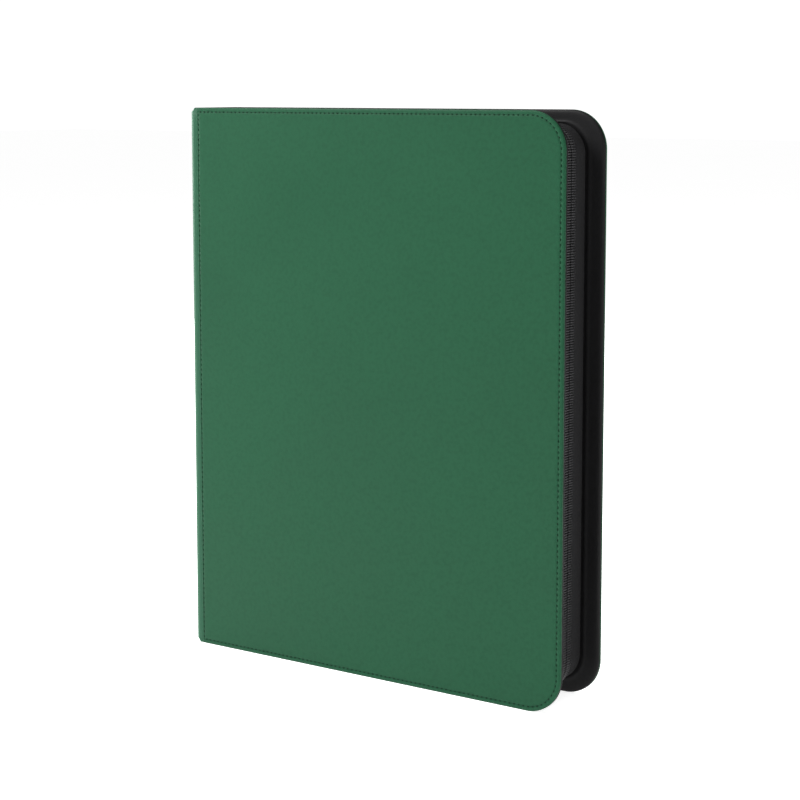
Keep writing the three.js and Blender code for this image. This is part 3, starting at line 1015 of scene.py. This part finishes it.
def pocket_leaf(node):
    """A leaf with three rows of three pockets on both faces, slightly pillowed between their welds."""
    low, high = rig.box(node)
    middle = (low.y + high.y) / 2
    half = (high.y - low.y) / 2
    xs, weld_x = leaf_lines(low.x, high.x, BOUND_MARGIN)
    zs, weld_z = leaf_lines(low.z, high.z, LEAF_RIM)
    nx, nz = len(xs), len(zs)
    points, welds_and_painted_light, faces = [], [], []
    for sign in (-1, 1):
        for j, z in enumerate(zs):
            for i, x in enumerate(xs):
                weld = max(weld_x[i], weld_z[j])
                cut = LEAF_CORNER if i == nx - 1 and j in (0, nz - 1) else 0
                cz = z + cut if j == 0 else z - cut
                points.append((x - cut, middle + sign * half * (0.45 if weld else 0.95), cz))
                welds_and_painted_light.append(weld)
    sheet = nx * nz
    for s in (0, sheet):
        for j in range(nz - 1):
            for i in range(nx - 1):
                a = s + j * nx + i
                faces.append((a, a + 1, a + 1 + nx, a + nx))
    rim = list(range(nx))
    rim += [j * nx + nx - 1 for j in range(1, nz)]
    rim += [(nz - 1) * nx + i for i in range(nx - 2, -1, -1)]
    rim += [j * nx for j in range(nz - 2, 0, -1)]
    for a, b in zip(rim, rim[1:] + rim[:1]):
        faces.append((a, b, b + sheet, a + sheet))
    mesh = closed_mesh(node + "_leaf", points, faces, welds_and_painted_light)
    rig.replaces(new_piece(node + "_leaf", node, "page_sheet", mesh), node)


# --- small hard pieces ---------------------------------------------------------------------------------


def rounded_copy(node, name, bevel, segments=2):
    """The CAD piece with its arrises eased, in its own slot's finish."""
    source = frame["nodes"][node]
    made = bmesh.new()
    made.from_mesh(source.data)
    bmesh.ops.remove_doubles(made, verts=made.verts, dist=1e-6)
    bmesh.ops.dissolve_limit(made, angle_limit=math.radians(3), verts=made.verts, edges=made.edges)
    bmesh.ops.recalc_face_normals(made, faces=made.faces)
    mesh = bpy.data.meshes.new(name)
    made.to_mesh(mesh)
    made.free()
    holder = bpy.data.objects.new(name + "_holder", mesh)
    bpy.context.scene.collection.objects.link(holder)
    ease = holder.modifiers.new("ease", "BEVEL")
    ease.width = bevel
    ease.segments = segments
    ease.limit_method = "ANGLE"
    ease.angle_limit = math.radians(30)
    depsgraph = bpy.context.evaluated_depsgraph_get()
    eased = bpy.data.meshes.new_from_object(holder.evaluated_get(depsgraph))
    bpy.data.objects.remove(holder)
    eased.materials.clear()
    piece = new_piece(name, body_of(node), slot_of(node), eased)
    mark_sharp(piece)
    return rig.replaces(piece, node)


def mark_sharp(piece):
    piece.data.set_sharp_from_angle(angle=math.radians(35))


def slot_of(node):
    return next(s["material_slot"] for s in frame["record"]["subparts"] if s["node"] == node)


def body_of(node):
    groups = frame["record"]["behaviour"]["bodies"]
    return next(body for body, members in groups.items() if node in members)


TOOTH_BLOCK = 2.05 * MM
# the tails: their thickness, the slot between the teeth, and where that slot starts
TAIL_THICKNESS = 0.8 * MM
TAIL_SLOT_HALF = 0.6 * MM
TAIL_SLOT_START = 1.95 * MM
TAIL_STEPS = 8
# the teeth on the tails: how far from each end of the tail, and how much wider apart than the rest
TAIL_TEETH_ENDS = (4.6 * MM, 0.4 * MM)
TAIL_SPREAD = 0.2 * MM


def tail_face(low, high, up):
    """The level of a tail's outer face, which its block of teeth stands on."""
    return high.z - TOOTH_BLOCK if up > 0 else low.z + TOOTH_BLOCK


def tail_teeth():
    """The zip's fixed ends on the spine: teeth on the two tails."""
    tooth = tooth_mesh(*TOOTH)
    for end, up in (("top", 1), ("bottom", -1)):
        low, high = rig.box("zip_tail_" + end)
        z = tail_face(low, high, up) + up * TEETH_RISE
        for side, inward in (("front", 1), ("back", -1)):
            name = f"tail_teeth_{end}_{side}"
            y = -inward * (MIDDLE_GAP + TOOTH[0] / 2 + TAIL_SPREAD)
            ends = low.x + TAIL_TEETH_ENDS[0], high.x - TAIL_TEETH_ENDS[1]
            line = [(x, y, z) for x in np.linspace(*ends, 4)]
            row_of(name, "spine", "zip_coil", [line], tooth, TOOTH_PITCH, (0, inward, 0))


def tail_tapes():
    """The tails themselves: flat tape with a slot between the two rows of teeth."""
    for end, up in (("top", 1), ("bottom", -1)):
        node = "zip_tail_" + end
        low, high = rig.box(node)
        face_z = tail_face(low, high, up)
        other_z = face_z - up * TAIL_THICKNESS
        slot_x = low.x + TAIL_SLOT_START
        xs = [low.x, slot_x, *np.linspace(slot_x, high.x, 6)[1:]]
        halves = (low.y, -TAIL_SLOT_HALF), (TAIL_SLOT_HALF, high.y)
        ys = [y for ends in halves for y in np.linspace(*ends, TAIL_STEPS)]
        points, faces, lay = [], [], []
        nx, ny = len(xs), len(ys)
        for z in (face_z, other_z):
            for y in ys:
                for x in xs:
                    points.append((x, y, z))
                    lay.append((x, y))
        sheet = nx * ny
        gap = TAIL_STEPS - 1
        quads = [(i, j) for j in range(ny - 1) for i in range(nx - 1) if not (j == gap and i >= 1)]
        walls = {}
        for i, j in quads:
            a = j * nx + i
            loop = (a, a + 1, a + 1 + nx, a + nx)
            faces.append(loop)
            faces.append(tuple(v + sheet for v in reversed(loop)))
            for p, q in zip(loop, loop[1:] + loop[:1]):
                walls[(p, q)] = walls.get((q, p)) is None
                if not walls[(p, q)]:
                    walls.pop((p, q))
                    walls.pop((q, p))
        for p, q in walls:
            faces.append((p, q, q + sheet, p + sheet))
        mesh = closed_mesh(node + "_tape", points, faces, None, lay)
        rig.replaces(new_piece(node + "_tape", "spine", "zip_tape", mesh), node)


def finish_hidden_layers():
    """Boards and foam stay as the CAD has them, in their own finishes."""
    for node, part in frame["nodes"].items():
        if not part.hide_render:
            part.data.materials.clear()
            part.data.materials.append(finishes[slot_of(node)])


place_camera()
light_studio()
lay_floor()
wrap_covers()
wrap_spine()
line_spine()
crease_channels()
zip_halves()
tail_tapes()
tail_teeth()
cover_seams()
for node in sorted(frame["nodes"]):
    if node.startswith("page_") and node != "page_binding":
        pocket_leaf(node)
rounded_copy("page_binding", "leaf_binding", 0.2 * MM)
rounded_copy("slider_body", "slider", 0.35 * MM, 3)
rounded_copy("pull_link", "pull_plate", 0.3 * MM, 3)
rounded_copy("pull_grip", "pull_cover", 0.7 * MM, 3)
for end in ("top", "bottom"):
    rounded_copy("zip_stop_" + end, "end_stop_" + end, 0.35 * MM, 3)
finish_hidden_layers()

with open("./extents.json", "w") as out:
    json.dump({"cad": [list(c) for c in cad_box], "visual": [list(c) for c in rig.bounds()]}, out)
